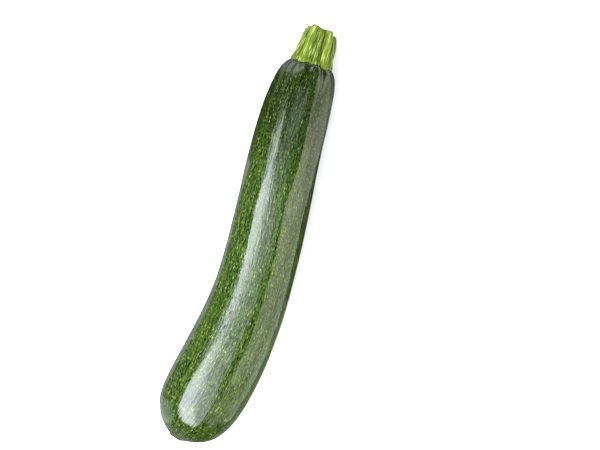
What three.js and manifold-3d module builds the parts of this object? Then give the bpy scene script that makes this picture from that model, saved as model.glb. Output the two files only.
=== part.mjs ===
// A courgette as picked: the fruit, lying on its side, and the ribbed stalk it was cut by.
// Millimetres, +Z up, lying on z = 0, +X from the blossom end to the stalk.
// Both pieces are turned on a straight axis first, then ribbed and bent along the fruit's own axis.
import * as THREE from "three";
import Module from "manifold-3d";
import { mergeVertices } from "three/addons/utils/BufferGeometryUtils.js";

// ---- The axis -------------------------------------------------------------------------------

const fruitLength = 201; // from the blossom end to the seat of the stalk
const flatDepth = 0.6; // how far the round underside is pressed flat where it lies

// The axis seen from above and from the side, at even steps from the blossom end to the stalk.
const axisSideways = [0.9, -5.4, -9.4, -10.9, -9.6, -6.9, -4.1, -2.1, -1.5];
const axisHeight = [20.6, 20.9, 20.6, 20.3, 19.8, 19.1, 18.4, 17.7, 17.6];

// ---- The fruit ------------------------------------------------------------------------------

// Along the axis and out from it, from the blossom scar to the seat of the stalk.
const fruitOutline = [
  [0.55, 0], // middle of the blossom scar
  [0.5, 1.9],
  [0.05, 2.9], // corky rim of the scar
  [0.4, 3.6],
  [1.1, 5.0], // foot of the rim
  [2.6, 8.2],
  [5.4, 12.6],
  [10.4, 16.9],
  [18, 19.8],
  [30, 21.0], // fullest
  [48, 20.8],
  [68, 19.8],
  [92, 18.8],
  [120, 18.45],
  [148, 17.95],
  [170, 17.3],
  [182, 16.4],
  [189.5, 15.4],
  [194.8, 13.9],
  [198, 11.9],
  [199.7, 9.2],
  [200.6, 5],
  [200.9, 0], // under the stalk
];
const ringsPerStep = 2;
const sidesRound = 96;

const ridgeCount = 10; // lengthwise ridges
const ridgeTurn = 11.2; // degrees of phase
const ridgeCrowding = 1.54; // radians by which the ridges draw together on the right
const ridgeWander = [0, -1.5, 2.5, 1.5, -0.5, -2.5, 8, 5, 0]; // degrees right, at the axis's steps
const ridgeHeight = [0.1, 0.14, 0.14, 0.14, 0.14, 0.16, 0.22, 0.24, 0.2]; // at the same steps
const belly = [0, 0, 0, 0.5, 0.9, 0.5, 0.25, 0.4, 0]; // how much fuller it is underneath
const ridgeFadeRadius = 7; // ridges and grooves die away inside this radius, towards the poles

// The grooves that run up under the stalk: where each is, in degrees from the left over the top,
// how deep it is at the seat, and over what length it fades down the fruit.
const grooves = [
  [28, 1.3, 13],
  [49, 1.5, 12],
  [66, 1.3, 9],
  [89, 1.0, 10],
  [123, 1.3, 18],
  [156, 1.1, 10],
  [188, 1.2, 10],
  [219, 1.3, 15],
  [247, 1.1, 9],
  [270, 1.2, 11],
  [301, 1.3, 15],
  [331, 1.1, 9],
];
const grooveWidth = 7; // degrees from the middle of a groove to where it is mostly gone

// ---- The stalk ------------------------------------------------------------------------------

// Along the same axis and out from it, from its foot, inside the fruit, to its cut end.
const stalkOutline = [
  [197, 0],
  [197, 7],
  [197.6, 9.6],
  [198.8, 10.5], // lip that lies on the shoulder
  [200.1, 10.5],
  [201.6, 9.9],
  [204, 9.3],
  [207.5, 8.95],
  [211, 8.6],
  [213.8, 8.0],
  [215.6, 7.3],
  [216.4, 6.8],
  [216.7, 6.1], // edge of the cut
  [216.6, 5.1],
  [216.2, 2.6],
  [215.9, 0], // pith, a little sunk
];
const ribPairs = 5; // each pair is a rib that stands out and a lesser one
const ribTurn = 90; // degrees of phase
const ribHeight = 0.55; // half the depth between a stalk rib and the groove beside it
const angularity = 1.3; // how far every other rib stands out, which makes the stalk five-sided
const footHeight = 0.32; // the same half depth at the foot, where the ribs flatten out
const footReach = 3.5; // how far up the stalk they take their full height
const footTwist = 9; // degrees to the right that the ribs turn at the foot
const twistReach = 6; // how far up the stalk that turn fades
const cutTilt = 13; // degrees by which the cut is out of square
const cutReachesOn = 60; // where it is furthest on, in degrees from the left over the top
const cutWave = 0.4; // how far the outstanding ribs reach on at the cut end
const seatGap = 0.3; // clear space between the stalk and the fruit

// ---- Placing a point ------------------------------------------------------------------------

const degrees = THREE.MathUtils.degToRad;

const axis = new THREE.CatmullRomCurve3(
  axisSideways.map(
    (side, i) =>
      new THREE.Vector3(
        (fruitLength * i) / (axisSideways.length - 1),
        side,
        axisHeight[i] - flatDepth,
      ),
  ),
  false,
  "catmullrom",
);

// A point of the straight piece, out from the axis and round it, carried onto the bent axis.
// Past the end of the fruit the axis runs straight on. Nothing goes below the table.
function bend(along, angle, out) {
  const onFruit = THREE.MathUtils.clamp(along / fruitLength, 0, 1);
  const ahead = axis.getTangent(onFruit);
  const left = new THREE.Vector3(-ahead.y, ahead.x, 0).normalize();
  const up = new THREE.Vector3().crossVectors(ahead, left);
  const point = axis
    .getPoint(onFruit)
    .addScaledVector(ahead, along - onFruit * fruitLength)
    .addScaledVector(left, out * Math.cos(angle))
    .addScaledVector(up, out * Math.sin(angle));
  point.z = Math.max(point.z, 0);
  return point;
}

// A smooth change of a value along the fruit, from its values at the axis's steps.
function changeAlong(values) {
  const steps = values.map((value, i) => new THREE.Vector3(i, value, 0));
  const curve = new THREE.CatmullRomCurve3(steps, false, "catmullrom");
  return (along) => curve.getPoint(THREE.MathUtils.clamp(along / fruitLength, 0, 1)).y;
}

const wanderAt = changeAlong(ridgeWander);
const ridgeHeightAt = changeAlong(ridgeHeight);
const bellyAt = changeAlong(belly);

// Ridges are at whole turns of this phase, and the flats between them at half turns.
function ridgePhase(along, angle) {
  const straightened = angle - degrees(wanderAt(along));
  const crowding = ridgeCrowding * Math.cos(straightened);
  return ridgeCount * straightened + crowding + degrees(ridgeTurn);
}

// Two forms of a repeated ridge: a narrow crest between flats, and a broad lobe between grooves.
const crest = (phase) => Math.cos(phase) + Math.cos(2 * phase) / 4 + Math.cos(3 * phase) / 9;
const lobe = (phase) => Math.cos(phase) - Math.cos(2 * phase) / 4;

// How deep the grooves beside the stalk are at a point.
function grooveDepth(along, angle) {
  return grooves.reduce((sum, [turn, depth, reach]) => {
    const past = THREE.MathUtils.radToDeg(angle) - turn;
    const off = THREE.MathUtils.euclideanModulo(past + 180, 360) - 180;
    return sum + depth * Math.exp(-((off / grooveWidth) ** 2) - (fruitLength - along) / reach);
  }, 0);
}

// How much further out than the outline the fruit's skin stands.
function fruitRelief(along, angle, out) {
  const ridge = ridgeHeightAt(along) * crest(ridgePhase(along, angle));
  const under = bellyAt(along) * Math.max(-Math.sin(angle), 0) ** 2;
  const height = ridge + under - grooveDepth(along, angle);
  return height * THREE.MathUtils.smoothstep(out, 0, ridgeFadeRadius);
}

// The outstanding ribs of the stalk are at whole turns of this phase, a lesser one between each two.
function ribPhase(along, angle) {
  const aboveFoot = Math.max(along - stalkOutline[3][0], 0);
  const twist = degrees(footTwist) * Math.exp(-aboveFoot / twistReach);
  return ribPairs * (angle - twist) + degrees(ribTurn);
}

// The same as the fruit's relief, for the stalk.
function stalkRelief(along, angle, out) {
  const phase = ribPhase(along, angle);
  const aboveFoot = Math.max(along - stalkOutline[3][0], 0);
  const height = ribHeight - (ribHeight - footHeight) * Math.exp(-aboveFoot / footReach);
  const ribs = lobe(2 * phase) + angularity * Math.cos(phase);
  return height * ribs * THREE.MathUtils.smoothstep(out, 1, 6);
}

// How far each point of the stalk is drawn on, which makes the cut end lean and wave.
function cutReach(along, angle, out) {
  const share = THREE.MathUtils.smoothstep(along, stalkOutline[4][0], stalkOutline[12][0]);
  const lean = Math.tan(degrees(cutTilt)) * Math.cos(angle - degrees(cutReachesOn));
  const wave = cutWave * Math.cos(ribPhase(along, angle)) * THREE.MathUtils.smoothstep(out, 2, 6);
  return share * (lean * out + wave);
}

// ---- Turning an outline and bending it ------------------------------------------------------

// grown is how far the whole surface is moved out, for cutting a seat.
function turned(outline, relief, reach = () => 0, grown = 0) {
  const curve = new THREE.CatmullRomCurve3(
    outline.map(([along, out]) => new THREE.Vector3(along, out, 0)),
    false,
    "catmullrom",
  );
  const points = curve
    .getPoints((outline.length - 1) * ringsPerStep)
    .map((p) => new THREE.Vector2(Math.max(p.y, 0), p.x));
  points[0].x = 0;
  points[points.length - 1].x = 0;
  const geometry = new THREE.LatheGeometry(points, sidesRound);
  const place = geometry.getAttribute("position");
  for (let i = 0; i < place.count; i++) {
    const out = Math.hypot(place.getX(i), place.getZ(i));
    const angle = Math.atan2(place.getX(i), place.getZ(i));
    const along = place.getY(i);
    const proud = relief(along, angle, out) + grown * THREE.MathUtils.smoothstep(out, 0, 1);
    const ahead = reach(along, angle, out) + (along > fruitLength / 2 ? grown : -grown);
    const bent = bend(along + ahead, angle, out + proud);
    place.setXYZ(i, bent.x, bent.y, bent.z);
  }
  return geometry;
}

// ---- Cutting the stalk's seat ---------------------------------------------------------------

const wasm = await Module();
wasm.setup();

function solid(geometry) {
  const bare = geometry.clone().deleteAttribute("normal").deleteAttribute("uv");
  const merged = mergeVertices(bare, 1e-3);
  return new wasm.Manifold(
    new wasm.Mesh({
      numProp: 3,
      vertProperties: merged.getAttribute("position").array,
      triVerts: new Uint32Array(merged.index.array),
    }),
  );
}

function geometryOf(manifold) {
  const mesh = manifold.getMesh();
  const geometry = new THREE.BufferGeometry();
  geometry.setAttribute("position", new THREE.BufferAttribute(mesh.vertProperties, 3));
  geometry.setIndex(new THREE.BufferAttribute(mesh.triVerts, 1));
  geometry.computeVertexNormals();
  return geometry;
}

const fruitBody = turned(fruitOutline, fruitRelief);
const fruitWithGap = turned(fruitOutline, fruitRelief, undefined, seatGap);
const stalkBlank = turned(stalkOutline, stalkRelief, cutReach);
const stalkBody = geometryOf(solid(stalkBlank).subtract(solid(fruitWithGap)));

// ---- The object -----------------------------------------------------------------------------

const skin = new THREE.MeshStandardMaterial({ color: 0x3f5f24, roughness: 0.32, metalness: 0 });
const greenStalk = new THREE.MeshStandardMaterial({ color: 0x8fae45, roughness: 0.55, metalness: 0 });

function piece(name, geometry, material) {
  const mesh = new THREE.Mesh(geometry, material);
  mesh.name = name;
  return mesh;
}

const courgette = new THREE.Group();
courgette.add(piece("fruit", fruitBody, skin), piece("stalk", stalkBody, greenStalk));

// The origin is on the table, under the middle of the whole thing.
const middle = new THREE.Box3().setFromObject(courgette).getCenter(new THREE.Vector3());
courgette.position.set(-middle.x, -middle.y, 0);

export default courgette;
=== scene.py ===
import math

import bmesh
import bpy
from mathutils import Matrix, Vector, noise


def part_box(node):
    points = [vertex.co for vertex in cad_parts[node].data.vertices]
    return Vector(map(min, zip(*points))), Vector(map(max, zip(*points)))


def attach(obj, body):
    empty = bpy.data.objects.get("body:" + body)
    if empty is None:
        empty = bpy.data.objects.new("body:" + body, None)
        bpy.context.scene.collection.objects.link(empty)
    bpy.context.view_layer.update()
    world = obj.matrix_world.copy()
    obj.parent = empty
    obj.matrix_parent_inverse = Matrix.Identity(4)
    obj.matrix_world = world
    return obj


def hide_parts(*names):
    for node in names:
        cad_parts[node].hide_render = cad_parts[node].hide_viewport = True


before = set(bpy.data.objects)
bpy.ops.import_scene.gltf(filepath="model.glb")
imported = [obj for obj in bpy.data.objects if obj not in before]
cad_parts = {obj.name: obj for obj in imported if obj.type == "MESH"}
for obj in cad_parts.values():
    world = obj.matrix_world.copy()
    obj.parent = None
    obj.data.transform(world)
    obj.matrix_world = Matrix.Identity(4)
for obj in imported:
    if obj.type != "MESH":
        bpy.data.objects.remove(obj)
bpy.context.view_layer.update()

mm = 0.001
print("frame loaded")

# The axis of the fruit, which both pieces are bent along. Shapes are in millimetres throughout.
axisShape = {
    "length": 201,  # from the blossom end to the seat of the stalk
    "sideways": [0.9, -5.4, -9.4, -10.9, -9.6, -6.9, -4.1, -2.1, -1.5],  # at even steps
    "height": [20.6, 20.9, 20.6, 20.3, 19.8, 19.1, 18.4, 17.7, 17.6],
    "flatDepth": 0.6,  # how far the underside is pressed flat on the table
}


def smoothStep(value, low, high):
    share = min(max((value - low) / (high - low), 0), 1)
    return share * share * (3 - 2 * share)


# A smooth curve through evenly spaced points, at a share of the way: its value, and its slope a step.
def throughPoints(points, share):
    last = len(points) - 1
    step = min(int(share * last), last - 1)
    t = share * last - step
    b, c = points[step], points[step + 1]
    a = points[step - 1] if step else 2 * b - c
    d = points[step + 2] if step + 2 <= last else 2 * c - b
    slopeB, slopeC = (c - a) / 2, (d - b) / 2
    square, cube = 3 * (c - b) - 2 * slopeB - slopeC, 2 * (b - c) + slopeB + slopeC
    return b + t * (slopeB + t * (square + t * cube)), slopeB + t * (2 * square + 3 * t * cube)


def shareOfAxis(along):
    return min(max(along / axisShape["length"], 0), 1)


# A point of the straight piece, out from the axis and round it, carried onto the bent axis.
def bend(along, angle, out):
    steps = len(axisShape["sideways"]) - 1
    share = shareOfAxis(along)
    side, sideSlope = throughPoints(axisShape["sideways"], share)
    height, heightSlope = throughPoints(axisShape["height"], share)
    onFruit = share * axisShape["length"]
    ahead = Vector((axisShape["length"] / steps, sideSlope, heightSlope)).normalized()
    left = Vector((-ahead.y, ahead.x, 0)).normalized()
    up = ahead.cross(left)
    point = Vector((onFruit, side, height - axisShape["flatDepth"])) + ahead * (along - onFruit)
    point += left * (out * math.cos(angle)) + up * (out * math.sin(angle))
    point.z = max(point.z, 0)
    return point


# A closed turned blank on the x axis, from the outline's (along, out) points. Each point keeps
# how far it is along the surface from the first pole.
def turnedBlank(outline, ringsPerStep, sides):
    thinnest = 0.01  # what the outline keeps clear of the axis between its poles
    blank = bmesh.new()
    fromPole = blank.verts.layers.float.new("fromPole")
    count = (len(outline) - 1) * ringsPerStep
    profile = []
    for ring in range(count + 1):
        along = throughPoints([point[0] for point in outline], ring / count)[0]
        out = throughPoints([point[1] for point in outline], ring / count)[0]
        out = 0 if ring in (0, count) else max(out, thinnest)
        profile.append(blank.verts.new((along, out, 0)))
    edges = [blank.edges.new(pair) for pair in zip(profile, profile[1:])]
    for before, after in zip(profile, profile[1:]):
        after[fromPole] = before[fromPole] + (after.co - before.co).length
    bmesh.ops.spin(
        blank, geom=profile + edges, cent=(0, 0, 0), axis=(1, 0, 0),
        angle=2 * math.pi, steps=sides, use_merge=True,
    )
    bmesh.ops.remove_doubles(blank, verts=blank.verts, dist=thinnest / 100)
    bmesh.ops.recalc_face_normals(blank, faces=blank.faces)
    return blank


fruitShape = {
    "outline": [  # along the axis and out from it, from the blossom scar to under the stalk
        (0.55, 0), (0.5, 1.9), (0.05, 2.9), (0.4, 3.6), (1.1, 5), (2.6, 8.2), (5.4, 12.6), (10.4, 16.9),
        (18, 19.8), (30, 21), (48, 20.8), (68, 19.8), (92, 18.8), (120, 18.45), (148, 17.95),
        (170, 17.3), (182, 16.4), (189.5, 15.4), (194.8, 13.9), (198, 11.9), (199.7, 9.2), (200.6, 5),
        (200.9, 0),
    ],
    "ringsPerStep": 10,
    "sides": 360,
    "tubeRadius": 19,  # of the even tube that its markings lie on
    "ridgeCount": 10,
    "ridgeCrowding": 1.54,  # radians by which the ridges draw together on the right
    "ridgeTurn": 11.2,  # degrees
    "ridgeWander": [0, -1.5, 2.5, 1.5, -0.5, -2.5, 8, 5, 0],  # degrees to the right, at even steps
    "ridgeHeight": [0.1, 0.14, 0.14, 0.14, 0.14, 0.16, 0.22, 0.24, 0.2],
    "crestTerms": 6,  # more make the crests of the ridges sharper
    "belly": [0, 0, 0, 0.5, 0.9, 0.5, 0.25, 0.4, 0],  # how much fuller it is underneath
    "grooves": [  # degrees from the left over the top, depth, and how far down the fruit they fade
        (28, 1.3, 13), (49, 1.5, 12), (66, 1.3, 9), (89, 1.0, 10), (123, 1.3, 18), (156, 1.1, 10),
        (188, 1.2, 10), (219, 1.3, 15), (247, 1.1, 9), (270, 1.2, 11), (301, 1.3, 15), (331, 1.1, 9),
    ],
    "grooveWidth": 7,  # degrees
    "ridgeFadeRadius": 7,
    "swell": 0.06,  # how uneven the skin is, in and out
    "swellLength": 20,  # from one swelling to the next, lengthwise
    "swellWidth": 5,
}


# The ridges are the rounded corners between flats, at whole turns of this phase.
def ridgePhase(along, angle):
    turned = angle - math.radians(throughPoints(fruitShape["ridgeWander"], shareOfAxis(along))[0])
    crowding = fruitShape["ridgeCrowding"] * math.cos(turned)
    return fruitShape["ridgeCount"] * turned + crowding + math.radians(fruitShape["ridgeTurn"])


# How deep the grooves that run up under the stalk are at a point.
def grooveDepth(along, angle):
    depth = 0
    for turn, deep, reach in fruitShape["grooves"]:
        off = (math.degrees(angle) - turn + 180) % 360 - 180
        fromStalk = axisShape["length"] - along
        depth += deep * math.exp(-(off / fruitShape["grooveWidth"]) ** 2 - fromStalk / reach)
    return depth


# How far the surface stands out from the turned blank at a point.
def fruitRelief(along, angle, out):
    phase = ridgePhase(along, angle)
    share = shareOfAxis(along)
    ridge = throughPoints(fruitShape["ridgeHeight"], share)[0]
    height = ridge * sum(math.cos(k * phase) / k ** 2 for k in range(1, fruitShape["crestTerms"] + 1))
    height -= grooveDepth(along, angle)
    height += throughPoints(fruitShape["belly"], share)[0] * max(-math.sin(angle), 0) ** 2
    spot = Vector((
        along / fruitShape["swellLength"],
        out * math.cos(angle) / fruitShape["swellWidth"],
        out * math.sin(angle) / fruitShape["swellWidth"],
    ))
    height += fruitShape["swell"] * noise.noise(spot)
    return height * smoothStep(out, 0, fruitShape["ridgeFadeRadius"])


stalkShape = {
    "outline": [  # from inside its seat to the cut
        (197, 0), (197, 7), (197.6, 9.6), (198.8, 10.5), (200.1, 10.5), (201.6, 9.9), (204, 9.3),
        (207.5, 8.95), (211, 8.6), (213.8, 8), (215.6, 7.3), (216.4, 6.8), (216.7, 6.1), (216.6, 5.1),
        (216.2, 2.6), (215.9, 0),
    ],
    "foot": 198.8,  # where its flare is widest
    "ringsPerStep": 8,
    "sides": 240,
    "tubeRadius": 9,
    "ribCount": 5,
    "ribHeight": 0.55,
    "angularity": 1.3,  # how much further out these stand than the lesser ones between them
    "ribFlatness": 0.25,  # how much broader they are than the furrows
    "ribFade": (1, 6),  # out from the axis, where they rise from nothing
    "footHeight": 0.32,  # the ribs are lower at the foot
    "footReach": 3.5,
    "footTwist": 9,  # degrees the ribs turn to the right at the foot
    "twistReach": 6,
    "cutTilt": 13,  # degrees
    "cutReachesOn": 60,  # the side where the cut is furthest on, in degrees from the left over the top
    "cutShift": (200.1, 216.7),  # the stretch over which the tilt grows to its full
    "cutWave": 0.4,
    "cutWaveFade": (2, 6),
    "fibreHeight": 0.28,  # the lengthwise fibres
    "fibreLength": 5,
    "fibreWidth": 0.7,
}


# The strong ribs stand at whole turns of this phase, with a lesser one between each two.
def ribPhase(along, angle):
    aboveFoot = max(along - stalkShape["foot"], 0)
    twist = math.radians(stalkShape["footTwist"]) * math.exp(-aboveFoot / stalkShape["twistReach"])
    return stalkShape["ribCount"] * (angle - twist) + math.pi / 2


def stalkRelief(along, angle, out):
    phase = ribPhase(along, angle)
    aboveFoot = max(along - stalkShape["foot"], 0)
    atFoot = math.exp(-aboveFoot / stalkShape["footReach"])
    lower = (stalkShape["ribHeight"] - stalkShape["footHeight"]) * atFoot
    height = stalkShape["ribHeight"] - lower
    ribs = math.cos(2 * phase) - stalkShape["ribFlatness"] * math.cos(4 * phase)
    ribs += stalkShape["angularity"] * math.cos(phase)
    spot = Vector((
        along / stalkShape["fibreLength"],
        out * math.cos(angle) / stalkShape["fibreWidth"],
        out * math.sin(angle) / stalkShape["fibreWidth"],
    ))
    fibres = stalkShape["fibreHeight"] * noise.noise(spot)
    return (height * ribs + fibres) * smoothStep(out, *stalkShape["ribFade"])


# How far along the axis a point of the stalk is shifted by the tilt and the wave of its cut.
def cutReach(along, angle, out):
    share = smoothStep(along, *stalkShape["cutShift"])
    fromFurthest = angle - math.radians(stalkShape["cutReachesOn"])
    lean = math.tan(math.radians(stalkShape["cutTilt"])) * math.cos(fromFurthest)
    wave = stalkShape["cutWave"] * math.cos(ribPhase(along, angle))
    return share * (lean * out + wave * smoothStep(out, *stalkShape["cutWaveFade"]))


# Turns, ribs and bends a piece. For its material it keeps how proud each point stands, and its place
# on an even tube that the skin is spread over, on which markings draw together towards the ends.
def growPiece(name, shape, relief, reach):
    blank = turnedBlank(shape["outline"], shape["ringsPerStep"], shape["sides"])
    tubeLayer = blank.verts.layers.float_vector.new("tubePlace")
    proudLayer = blank.verts.layers.float.new("proud")
    fromPole = blank.verts.layers.float["fromPole"]
    for vert in blank.verts:
        along, out = vert.co.x, math.hypot(vert.co.y, vert.co.z)
        angle = math.atan2(vert.co.z, vert.co.y)
        proud = relief(along, angle, out)
        roundTube = shape["tubeRadius"] * math.cos(angle), shape["tubeRadius"] * math.sin(angle)
        vert[tubeLayer] = Vector((vert[fromPole], *roundTube)) * mm
        vert[proudLayer] = proud * mm
        vert.co = bend(along + reach(along, angle, out), angle, out + proud)
    mesh = bpy.data.meshes.new(name)
    blank.to_mesh(mesh)
    blank.free()
    for face in mesh.polygons:
        face.use_smooth = True
    piece = bpy.data.objects.new(name, mesh)
    bpy.context.scene.collection.objects.link(piece)
    return piece


fruit = growPiece("fruit_skin", fruitShape, fruitRelief, lambda along, angle, out: 0)
stalk = growPiece("cut_stalk", stalkShape, stalkRelief, cutReach)
xs = [vert.co.x for vert in fruit.data.vertices]
ys = [vert.co.y for vert in fruit.data.vertices]
fruitMiddle = Vector(((min(xs) + max(xs)) / 2, (min(ys) + max(ys)) / 2, 0))
boxLow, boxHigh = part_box("fruit")
cadMiddle = (Vector(boxLow) + Vector(boxHigh)) / 2
hairSmaller = 0.9985  # the finer shape keeps inside the solid's box
toFrame = (
    Matrix.Translation((cadMiddle.x, cadMiddle.y, 0)) @ Matrix.Scale(hairSmaller * mm, 4)
    @ Matrix.Translation(-fruitMiddle)
)
for piece, node in ((fruit, "fruit"), (stalk, "stalk")):
    piece.data.transform(toFrame)
    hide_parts(node)
    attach(piece, "root")
print("fruit and stalk grown")


def linear(hexColour, alpha=1.0):
    channels = [int(hexColour[i:i + 2], 16) / 255 for i in (1, 3, 5)]
    return tuple(c / 12.92 if c <= 0.04045 else ((c + 0.055) / 1.055) ** 2.4 for c in channels) + (alpha,)


# Adds a node: settings are its properties, and sockets are its inputs, each a value or a link.
def addNode(tree, kind, sockets=None, **settings):
    node = tree.nodes.new("ShaderNode" + kind)
    for name, value in settings.items():
        setattr(node, name, value)
    for name, value in (sockets or {}).items():
        if isinstance(value, bpy.types.NodeSocket):
            tree.links.new(value, node.inputs[name])
        else:
            node.inputs[name].default_value = value
    return node


def newMaterial(name):
    material = bpy.data.materials.new(name)
    material.use_nodes = True
    material.node_tree.nodes.clear()
    return material, material.node_tree


skinFinish = {
    "ground": ("#071502", "#30470f"),  # from the darkest streaks to the lightest
    "streakShare": (0.435, 0.585),  # the noise values that give these two
    "stripe": (34, 1.5),  # lengthwise and across, from one stripe to the next
    "shoulder": (0.48, 0.48, 0.55),  # how much darker all of it is beside the stalk: partly the skin's own darker tone, partly painted shade from the stalk over the steep shoulder
    "streak": (6, 0.6),  # the finer streaks that the flecks line up in
    "streakMix": 0.65,  # how much of them there is over the stripes
    "grain": (1.5, 0.36),  # the short dashes that the skin between the flecks is made up of
    "grainMix": 0.55,
    "flecks": "#80893e",
    "fine": (1.9, 0.32),  # from one fleck to the next
    "fineFlecks": (0.64, 0.7),  # the largest one's radius in cells, and the share of cells with one
    "darkStreakFlecks": 0.25,  # how strong they still are on the darkest streaks
    "shoulderFlecks": 0.52,  # and beside the stalk
    "paleFlecks": "#8b9254",
    "coarse": (3.4, 0.6),
    "coarseFlecks": (0.4, 0.07),
    "darkensFrom": 118,  # along the skin from the blossom scar
    "darkensTo": 200,
    "blossomEnd": 52,  # painted shade: it is a little darker within this too, where the tip turns away from the light
    "blossomPaintedShade": 0.8,
    "fleckHeight": 0.012,
    "wander": 0.25,  # how far the flecks wander out of line
    "wanderSize": 5,
    "cork": ("#3f4020", "#756c45"),  # the dark and the pale of the scar's cork
    "corkEdge": (2.6, 1.8),  # where it begins and is full, from the middle of the scar
    "corkRagged": 1.6,
    "corkGrain": (0.9, 0.9),
    "corkShare": (0.35, 0.65),  # the grain's values that give the dark and the pale
    "corkRoughness": 0.85,
    "roughness": (0.09, 0.17),
    "bloomSize": 9,  # from one duller patch to the next
    "bloomShare": (0.3, 0.7),  # the noise values where the skin is smoothest and dullest
    "rise": (6, 1.1),  # from one fine rise of the skin to the next
    "riseHeight": 0.135,
    "shoulderRise": 0.5,  # how high the rises still are beside the stalk
    "ior": 1.45,
}


# A place in cells of a given size, lengthwise and across.
def inCells(tree, place, size):
    lengthwise, across = (1 / (side * mm) for side in size)
    perCell = (lengthwise, across, across)
    return addNode(tree, "VectorMath", {0: place, 1: perCell}, operation="MULTIPLY").outputs[0]


# A soft noise with its own lengthwise and crosswise size.
def stretchedNoise(tree, place, size):
    cells = inCells(tree, place, size)
    return addNode(tree, "TexNoise", {"Vector": cells, "Scale": 1.0, "Detail": 2.0}).outputs["Fac"]


# A layer of flecks: one in some of the cells of this size, each with its own size and strength.
def fleckLayer(tree, place, size, fullAndKept):
    full, kept = fullAndKept
    softEdge, faintest = 0.3, 0.25
    cells = addNode(tree, "TexVoronoi", {"Vector": inCells(tree, place, size), "Scale": 1.0})
    chance = addNode(tree, "SeparateColor", {"Color": cells.outputs["Color"]})
    radius = addNode(tree, "MapRange", {
        "Value": chance.outputs["Red"], "From Min": 1 - kept, "To Max": full,
    }).outputs[0]
    inside = addNode(tree, "Math", {0: radius, 1: cells.outputs["Distance"]}, operation="SUBTRACT")
    edge = addNode(tree, "MapRange", {"Value": inside.outputs[0], "From Max": softEdge}).outputs[0]
    strength = addNode(tree, "MapRange", {"Value": chance.outputs["Green"], "To Min": faintest}).outputs[0]
    return addNode(tree, "Math", {0: edge, 1: strength}, operation="MULTIPLY").outputs[0]


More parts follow.
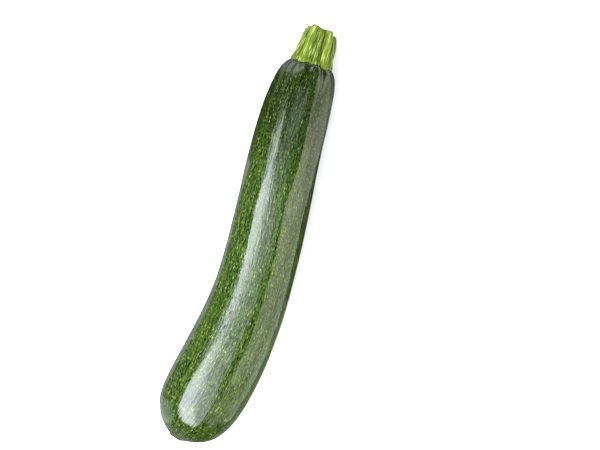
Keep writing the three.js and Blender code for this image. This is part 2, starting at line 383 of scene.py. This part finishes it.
# The waxy skin of a courgette: chlorophyll green under a thin clear cuticle, with crisp highlights.
def waxySkin():
    material, tree = newMaterial("waxy courgette skin")
    place = addNode(tree, "Attribute", attribute_name="tubePlace").outputs["Vector"]
    along = addNode(tree, "SeparateXYZ", {0: place}).outputs["X"]
    wander = addNode(tree, "TexNoise", {
        "Vector": place, "Scale": 1 / (skinFinish["wanderSize"] * mm), "Detail": 1.0,
    }).outputs["Color"]
    centred = addNode(tree, "VectorMath", {0: wander, 1: (0.5, 0.5, 0.5)}, operation="SUBTRACT").outputs[0]
    moved = addNode(tree, "VectorMath", {
        0: centred, 1: (2 * skinFinish["wander"] * mm,) * 3, 2: place,
    }, operation="MULTIPLY_ADD").outputs[0]

    stripes = stretchedNoise(tree, place, skinFinish["stripe"])
    streaks = stretchedNoise(tree, moved, skinFinish["streak"])
    grain = stretchedNoise(tree, moved, skinFinish["grain"])
    lined = addNode(tree, "Mix", {0: skinFinish["streakMix"], 2: stripes, 3: streaks}).outputs[0]
    lined = addNode(tree, "Mix", {0: skinFinish["grainMix"], 2: lined, 3: grain}).outputs[0]
    darkest, lightest = skinFinish["streakShare"]
    share = addNode(tree, "MapRange", {"Value": lined, "From Min": darkest, "From Max": lightest}).outputs[0]
    dark, light = skinFinish["ground"]
    ground = addNode(tree, "Mix", {0: share, 6: linear(dark), 7: linear(light)}, data_type="RGBA").outputs[2]
    nearStalk = addNode(tree, "MapRange", {
        "Value": along, "From Min": skinFinish["darkensFrom"] * mm, "From Max": skinFinish["darkensTo"] * mm,
    }, interpolation_type="SMOOTHSTEP").outputs[0]
    blossomPaintedShadeShare = addNode(tree, "MapRange", {
        "Value": along, "From Min": skinFinish["blossomEnd"] * mm, "From Max": 0.0,
        "To Max": skinFinish["blossomPaintedShade"],
    }, interpolation_type="SMOOTHSTEP").outputs[0]
    # Darker beside the stalk, partly the skin's own tone and partly painted shade, and painted shade towards
    # the blossom end.
    toneAndShadeShare = addNode(tree, "Math", {0: nearStalk, 1: blossomPaintedShadeShare}, operation="ADD").outputs[0]
    shaded = addNode(tree, "Mix", {
        0: toneAndShadeShare, 6: ground, 7: (*skinFinish["shoulder"], 1),
    }, data_type="RGBA", blend_type="MULTIPLY").outputs[2]

    fine = fleckLayer(tree, moved, skinFinish["fine"], skinFinish["fineFlecks"])
    onStreak = addNode(tree, "MapRange", {
        "Value": share, "To Min": skinFinish["darkStreakFlecks"],
    }).outputs[0]
    fineShare = addNode(tree, "Math", {0: fine, 1: onStreak}, operation="MULTIPLY").outputs[0]
    faint = addNode(tree, "MapRange", {
        "Value": nearStalk, "To Min": 1.0, "To Max": skinFinish["shoulderFlecks"],
    }).outputs[0]
    fineShare = addNode(tree, "Math", {0: fineShare, 1: faint}, operation="MULTIPLY").outputs[0]
    flecked = addNode(tree, "Mix", {
        0: fineShare, 6: shaded, 7: linear(skinFinish["flecks"]),
    }, data_type="RGBA").outputs[2]
    coarse = fleckLayer(tree, moved, skinFinish["coarse"], skinFinish["coarseFlecks"])
    colour = addNode(tree, "Mix", {
        0: coarse, 6: flecked, 7: linear(skinFinish["paleFlecks"]),
    }, data_type="RGBA").outputs[2]

    # The corky scar that the blossom left.
    corkGrain = stretchedNoise(tree, place, skinFinish["corkGrain"])
    ragged = addNode(tree, "Math", {
        0: corkGrain, 1: -skinFinish["corkRagged"] * mm, 2: along,
    }, operation="MULTIPLY_ADD").outputs[0]
    begins, isFull = skinFinish["corkEdge"]
    scar = addNode(tree, "MapRange", {
        "Value": ragged, "From Min": begins * mm, "From Max": isFull * mm,
    }).outputs[0]
    darkest, palest = skinFinish["corkShare"]
    pale = addNode(tree, "MapRange", {
        "Value": corkGrain, "From Min": darkest, "From Max": palest,
    }).outputs[0]
    darkCork, paleCork = skinFinish["cork"]
    cork = addNode(tree, "Mix", {
        0: pale, 6: linear(darkCork), 7: linear(paleCork),
    }, data_type="RGBA").outputs[2]
    colour = addNode(tree, "Mix", {0: scar, 6: colour, 7: cork}, data_type="RGBA").outputs[2]

    smooth, dull = skinFinish["roughness"]
    smoothest, dullest = skinFinish["bloomShare"]
    bloom = addNode(tree, "TexNoise", {
        "Vector": place, "Scale": 1 / (skinFinish["bloomSize"] * mm), "Detail": 3.0,
    }).outputs["Fac"]
    roughness = addNode(tree, "MapRange", {
        "Value": bloom, "From Min": smoothest, "From Max": dullest, "To Min": smooth, "To Max": dull,
    }).outputs[0]
    roughness = addNode(tree, "Mix", {0: scar, 2: roughness, 3: skinFinish["corkRoughness"]}).outputs[0]
    riseHeight = addNode(tree, "MapRange", {
        "Value": nearStalk, "To Min": skinFinish["riseHeight"] * mm,
        "To Max": skinFinish["riseHeight"] * skinFinish["shoulderRise"] * mm,
    }).outputs[0]
    centredRise = addNode(tree, "Math", {
        0: stretchedNoise(tree, place, skinFinish["rise"]), 1: 0.5,
    }, operation="SUBTRACT").outputs[0]
    skinHeight = addNode(tree, "Math", {0: centredRise, 1: riseHeight}, operation="MULTIPLY").outputs[0]
    skinHeight = addNode(tree, "Math", {
        0: fine, 1: skinFinish["fleckHeight"] * mm, 2: skinHeight,
    }, operation="MULTIPLY_ADD").outputs[0]
    bump = addNode(tree, "Bump", {"Strength": 1.0, "Distance": 1.0, "Height": skinHeight})
    shader = addNode(tree, "BsdfPrincipled", {
        "Base Color": colour, "Roughness": roughness, "IOR": skinFinish["ior"], "Normal": bump.outputs[0],
    })
    addNode(tree, "OutputMaterial", {"Surface": shader.outputs[0]})
    return material


stalkFinish = {
    "groove": "#152605",
    "rib": "#4a5c0c",
    "proud": (-0.7, 0.9),  # how far out the deepest furrows and the highest ribs stand
    "greenShare": (0.46, 0.97),  # the sums of height and mottle that give the two greens, the darker one painted shade in the furrows
    "mottle": (7, 0.9),  # lengthwise and across
    "fibre": "#8a9450",
    "fibreSpacing": (5, 0.45),
    "fibreShare": (0.52, 0.66),  # the noise values where a fibre begins and is full
    "furrowFibres": 0.25,  # how strong they still are in the furrows
    "fibreHeight": 0.12,
    "roughness": 0.6,
    "specular": 0.12,
    "pith": "#959a68",  # where it is cut
    "pithMix": 0.85,
    "pithFrom": 30.4,  # along its surface from the middle of its seat
    "pithTo": 31.6,
}


# The stalk's green rind over tough pale fibres, matt where it has dried, with painted shade in its furrows.
def fibrousStalk():
    material, tree = newMaterial("fibrous green stalk")
    place = addNode(tree, "Attribute", attribute_name="tubePlace").outputs["Vector"]
    proud = addNode(tree, "Attribute", attribute_name="proud").outputs["Fac"]
    furrow, rib = stalkFinish["proud"]
    height = addNode(tree, "MapRange", {
        "Value": proud, "From Min": furrow * mm, "From Max": rib * mm,
    }).outputs[0]
    mottle = stretchedNoise(tree, place, stalkFinish["mottle"])
    mottled = addNode(tree, "Math", {0: height, 1: mottle}, operation="ADD").outputs[0]
    darkest, lightest = stalkFinish["greenShare"]
    share = addNode(tree, "MapRange", {
        "Value": mottled, "From Min": darkest, "From Max": lightest,
    }).outputs[0]
    # Painted shade: darker green in the furrows, the stalk's own green on the ribs.
    green = addNode(tree, "Mix", {
        0: share, 6: linear(stalkFinish["groove"]), 7: linear(stalkFinish["rib"]),
    }, data_type="RGBA").outputs[2]
    fibres = stretchedNoise(tree, place, stalkFinish["fibreSpacing"])
    begins, isFull = stalkFinish["fibreShare"]
    pale = addNode(tree, "MapRange", {"Value": fibres, "From Min": begins, "From Max": isFull}).outputs[0]
    onRibs = addNode(tree, "MapRange", {"Value": share, "To Min": stalkFinish["furrowFibres"]}).outputs[0]
    pale = addNode(tree, "Math", {0: pale, 1: onRibs}, operation="MULTIPLY").outputs[0]
    colour = addNode(tree, "Mix", {
        0: pale, 6: green, 7: linear(stalkFinish["fibre"]),
    }, data_type="RGBA").outputs[2]
    along = addNode(tree, "SeparateXYZ", {0: place}).outputs["X"]
    onCut = addNode(tree, "MapRange", {
        "Value": along, "From Min": stalkFinish["pithFrom"] * mm, "From Max": stalkFinish["pithTo"] * mm,
        "To Max": stalkFinish["pithMix"],
    }).outputs[0]
    colour = addNode(tree, "Mix", {
        0: onCut, 6: colour, 7: linear(stalkFinish["pith"]),
    }, data_type="RGBA").outputs[2]
    bump = addNode(tree, "Bump", {
        "Strength": 1.0, "Distance": stalkFinish["fibreHeight"] * mm, "Height": fibres,
    })
    shader = addNode(tree, "BsdfPrincipled", {
        "Base Color": colour, "Roughness": stalkFinish["roughness"],
        "Specular IOR Level": stalkFinish["specular"], "Normal": bump.outputs[0],
    })
    addNode(tree, "OutputMaterial", {"Surface": shader.outputs[0]})
    return material


fruit.data.materials.append(waxySkin())
stalk.data.materials.append(fibrousStalk())
print("materials made")

studio = {  # in metres from here on
    "floorColour": "#e6e6e6",
    "floorSize": 12.0,
    "cardLevel": 0.0003,
    "world": (0.3, 0.3, 0.3, 1),
    "worldStrength": 0.7,
    "turn": 70.63,  # degrees from the picture's right to the stalk
}


# A flat sheet of one face, at a level.
def laySheet(name, corners, level, material):
    sheet = bmesh.new()
    sheet.faces.new([sheet.verts.new((x, y, level)) for x, y in corners])
    data = bpy.data.meshes.new(name)
    sheet.to_mesh(data)
    sheet.free()
    data.materials.append(material)
    laid = bpy.data.objects.new(name, data)
    bpy.context.scene.collection.objects.link(laid)
    return laid


def matt(name, hexColour):
    material, tree = newMaterial(name)
    shader = addNode(tree, "BsdfDiffuse", {"Color": linear(hexColour)})
    addNode(tree, "OutputMaterial", {"Surface": shader.outputs[0]})
    return material


half = studio["floorSize"] / 2
wholeFloor = [(-half, -half), (half, -half), (half, half), (-half, half)]
laySheet("floor", wholeFloor, 0, matt("matt pale paper", studio["floorColour"]))
# Cards beside the fruit, which only the gloss of its skin shows, keep its flanks deep green:
# each one's colour and its corners.
cards = {
    "left_foot_card": ("#5c5c5c", [
        (-0.1, 0), (0.045, 0), (0.045, 0.03), (0.035, 0.032), (-0.02, 0.03), (-0.08, 0.037),
        (-0.1, 0.034),
    ]),
    "left_near_card": ("#7c7c7c", [
        (-0.1, 0.034), (-0.08, 0.037), (-0.02, 0.03), (0.035, 0.032), (0.03, 0.05), (-0.1, 0.06),
    ]),
    "left_far_card": ("#5c5c5c", [(-0.1, 0.06), (0.03, 0.05), (0, 5.5), (-2.5, 5.5), (-0.3, 0.6)]),
    "left_flag": ("#181c12", [
        (0.03, 0.05), (0.035, 0.032), (0.045, 0.03), (0.045, 0), (0.088, 0), (0.088, 5.5), (0, 5.5),
    ]),
    "stalk_card": ("#a8a8a8", [(0.088, 0), (5.5, 0), (5.5, 5.5), (4.6, 5.5)]),
    "stalk_left_card": ("#747474", [(0.088, 0), (4.6, 5.5), (0.088, 5.5)]),
    "tip_left_card": ("#a9a9a9", [
        (-0.1, 0.034), (-0.1, 0.06), (-0.3, 0.6), (-2.5, 5.5), (-5.5, 5.5), (-5.5, 2.6), (-0.2, 0.1),
        (-0.125, 0.03),
    ]),
    "front_card": ("#5c5c5c", [
        (-0.112, -0.002), (-0.1, 0.034), (-0.125, 0.03), (-0.2, 0.1), (-5.5, 2.6), (-5.5, 0.02),
    ]),
    "front_flag": ("#383a34", [
        (-0.112, -0.002), (-5.5, 0.02), (-5.5, -5.5), (-4, -5.5), (-0.3, -0.35), (-0.112, -0.07),
    ]),
    "right_near_card": ("#585a4c", [(-0.112, -0.002), (-0.112, -0.07), (-0.025, -0.065), (-0.025, -0.005)]),
    "right_flag": ("#2e3226", [(-0.025, -0.005), (-0.025, -0.065), (0.05, -0.065), (0.05, 0), (0, 0)]),
    "right_head_card": ("#666660", [(0.05, 0), (0.05, -0.065), (0.12, -0.06), (0.12, 0)]),
    "right_far_card": ("#d6d6c6", [
        (-0.112, -0.07), (-0.3, -0.35), (-4, -5.5), (5.5, -5.5), (5.5, 0), (0.12, 0), (0.12, -0.06),
        (0.05, -0.065), (-0.025, -0.065),
    ]),
}
for name, (hexColour, corners) in cards.items():
    card = laySheet(name, corners, studio["cardLevel"], matt(name.replace("_", " "), hexColour))
    card.visible_camera = False
    card.visible_diffuse = False
    card.visible_shadow = False

world = bpy.data.worlds.new("studio")
world.use_nodes = True
world.node_tree.nodes["Background"].inputs["Color"].default_value = studio["world"]
world.node_tree.nodes["Background"].inputs["Strength"].default_value = studio["worldStrength"]
bpy.context.scene.world = world


# A softbox of a given radiance, which shines down the z axis of its place.
def addSoftbox(name, place, size, radiance, tint):
    light = bpy.data.lights.new(name, "AREA")
    light.shape = "RECTANGLE"
    light.size, light.size_y = size
    light.energy = radiance * math.pi * size[0] * size[1]
    light.color = tint
    box = bpy.data.objects.new(name, light)
    bpy.context.scene.collection.objects.link(box)
    box.matrix_world = place
    box.visible_camera = False
    return box


# On an arc over the courgette, facing its middle: lean is from straight overhead.
def onArc(heading, lean, distance):
    turned = Matrix.Rotation(math.radians(heading - 90), 4, "Z")
    leaning = Matrix.Rotation(math.radians(-lean), 4, "X")
    return turned @ leaning @ Matrix.Translation((0, 0, distance))


# A level silk overhead, with a lamp above its left side. Places on it are in the picture's
# directions, across to the right and ahead, and in heights of the silk.
silk = {
    "height": 1.3,
    "across": (-1.5, 0.4),
    "near": -1.9,
    "far": [1.05, 0.72, 0.4, 0.24, 0.13, 0.03],  # its far edge, at even steps across
    "lamp": 10.8,  # radiance that the lamp adds
    "lampEdge": -0.3,  # where its pool of light ends, straight overhead
    "lampLean": 0.12,  # how far that end moves right with each step ahead
    "lampSoftness": 0.16,
    "spill": 7.2,  # radiance of the silk beside the pool
    "spillFades": (0.1, 0.4),  # across, from where to where
    "farDimming": 0.6,  # how much weaker the spill gets to the right and ahead
    "dimsAcross": (-0.3, 0.0),
    "dimsAhead": (-0.25, 0.2),
    "lampDimming": (0.15, 1.0, 0.8),  # ahead, from where to where and by how much
    "colour": "#f2f4ff",
    "squares": 30,
}


def silkGlow(across, ahead):
    edge = silk["lampEdge"] + silk["lampLean"] * ahead
    lamp = silk["lamp"] * (1 - smoothStep(across - edge, -silk["lampSoftness"], silk["lampSoftness"]))
    dimmed = smoothStep(ahead, *silk["dimsAhead"]) * smoothStep(across, *silk["dimsAcross"])
    spill = silk["spill"] * (1 - silk["farDimming"] * dimmed)
    spill *= 1 - smoothStep(across, *silk["spillFades"])
    start, end, share = silk["lampDimming"]
    return (lamp + spill) * (1 - share * smoothStep(ahead, start, end))


def hangSilk():
    cloth = bmesh.new()
    bmesh.ops.create_grid(cloth, x_segments=silk["squares"], y_segments=silk["squares"], size=1)
    glowLayer = cloth.verts.layers.float.new("glow")
    for vert in cloth.verts:
        share = (vert.co.x + 1) / 2
        left, right = silk["across"]
        across = left + share * (right - left)
        far = throughPoints(silk["far"], share)[0]
        ahead = silk["near"] + (vert.co.y + 1) / 2 * (far - silk["near"])
        vert[glowLayer] = silkGlow(across, ahead)
        vert.co = Vector((across, ahead, 1)) * silk["height"]
    cloth.transform(Matrix.Rotation(math.radians(-studio["turn"]), 4, "Z"))
    bmesh.ops.reverse_faces(cloth, faces=cloth.faces)
    data = bpy.data.meshes.new("silk")
    cloth.to_mesh(data)
    cloth.free()
    material, tree = newMaterial("lit white silk")
    strength = addNode(tree, "Attribute", attribute_name="glow").outputs["Fac"]
    shader = addNode(tree, "Emission", {"Color": linear(silk["colour"]), "Strength": strength})
    addNode(tree, "OutputMaterial", {"Surface": shader.outputs[0]})
    data.materials.append(material)
    hung = bpy.data.objects.new("silk", data)
    bpy.context.scene.collection.objects.link(hung)
    hung.visible_camera = False


warmTint, blueTint = (1.02, 1.0, 0.85), (0.9, 1.0, 1.12)
softboxes = {  # heading and lean in degrees, distance, size, radiance and tint
    "fill_softbox": (-88, 67, 1.3, (0.6, 1.0), 3.3, (1.02, 1.0, 0.82)),
    "tip_side_softbox": (-121, 67, 1.3, (0.9, 1.0), 1.7, warmTint),
    # Three of these, smaller each time, lie in one place and so have a soft edge.
    "blue_softbox_0": (-24, 15, 1.4, (0.42, 0.25), 1.5, blueTint),
    "blue_softbox_1": (-24, 15, 1.4, (0.34, 0.2), 1.5, blueTint),
    "blue_softbox_2": (-24, 15, 1.4, (0.26, 0.15), 1.5, blueTint),
    "left_head_softbox": (37, 72, 1.3, (0.9, 0.6), 4.2, (0.95, 1.0, 1.05)),
    "right_head_softbox": (-50, 74, 1.3, (0.62, 0.95), 2.0, (1.0, 1.0, 0.9)),
    "right_side_softbox": (-60, 70, 1.3, (0.85, 1.0), 1.45, warmTint),
}
hangSilk()
for name, (heading, lean, distance, size, radiance, tint) in softboxes.items():
    addSoftbox(name, onArc(heading, lean, distance), size, radiance, tint)

# The camera looks straight down, and the stalk points up and to the right.
view = {
    "target": (0.0123, -0.0152, 0.02),
    "distance": 1.5,
    "width": 0.3,  # what the picture's width takes in at the target
    "sensor": 36,  # in millimetres
}
cameraData = bpy.data.cameras.new("camera")
cameraData.sensor_width = view["sensor"]
cameraData.lens = cameraData.sensor_width * view["distance"] / view["width"]
cameraData.clip_end = 50
camera = bpy.data.objects.new("camera", cameraData)
bpy.context.scene.collection.objects.link(camera)
camera.matrix_world = (
    Matrix.Translation(Vector(view["target"]) + Vector((0, 0, view["distance"])))
    @ Matrix.Rotation(math.radians(-studio["turn"]), 4, "Z")
)
bpy.context.scene.camera = camera
bpy.context.scene.view_settings.view_transform = "Standard"
print("studio set")
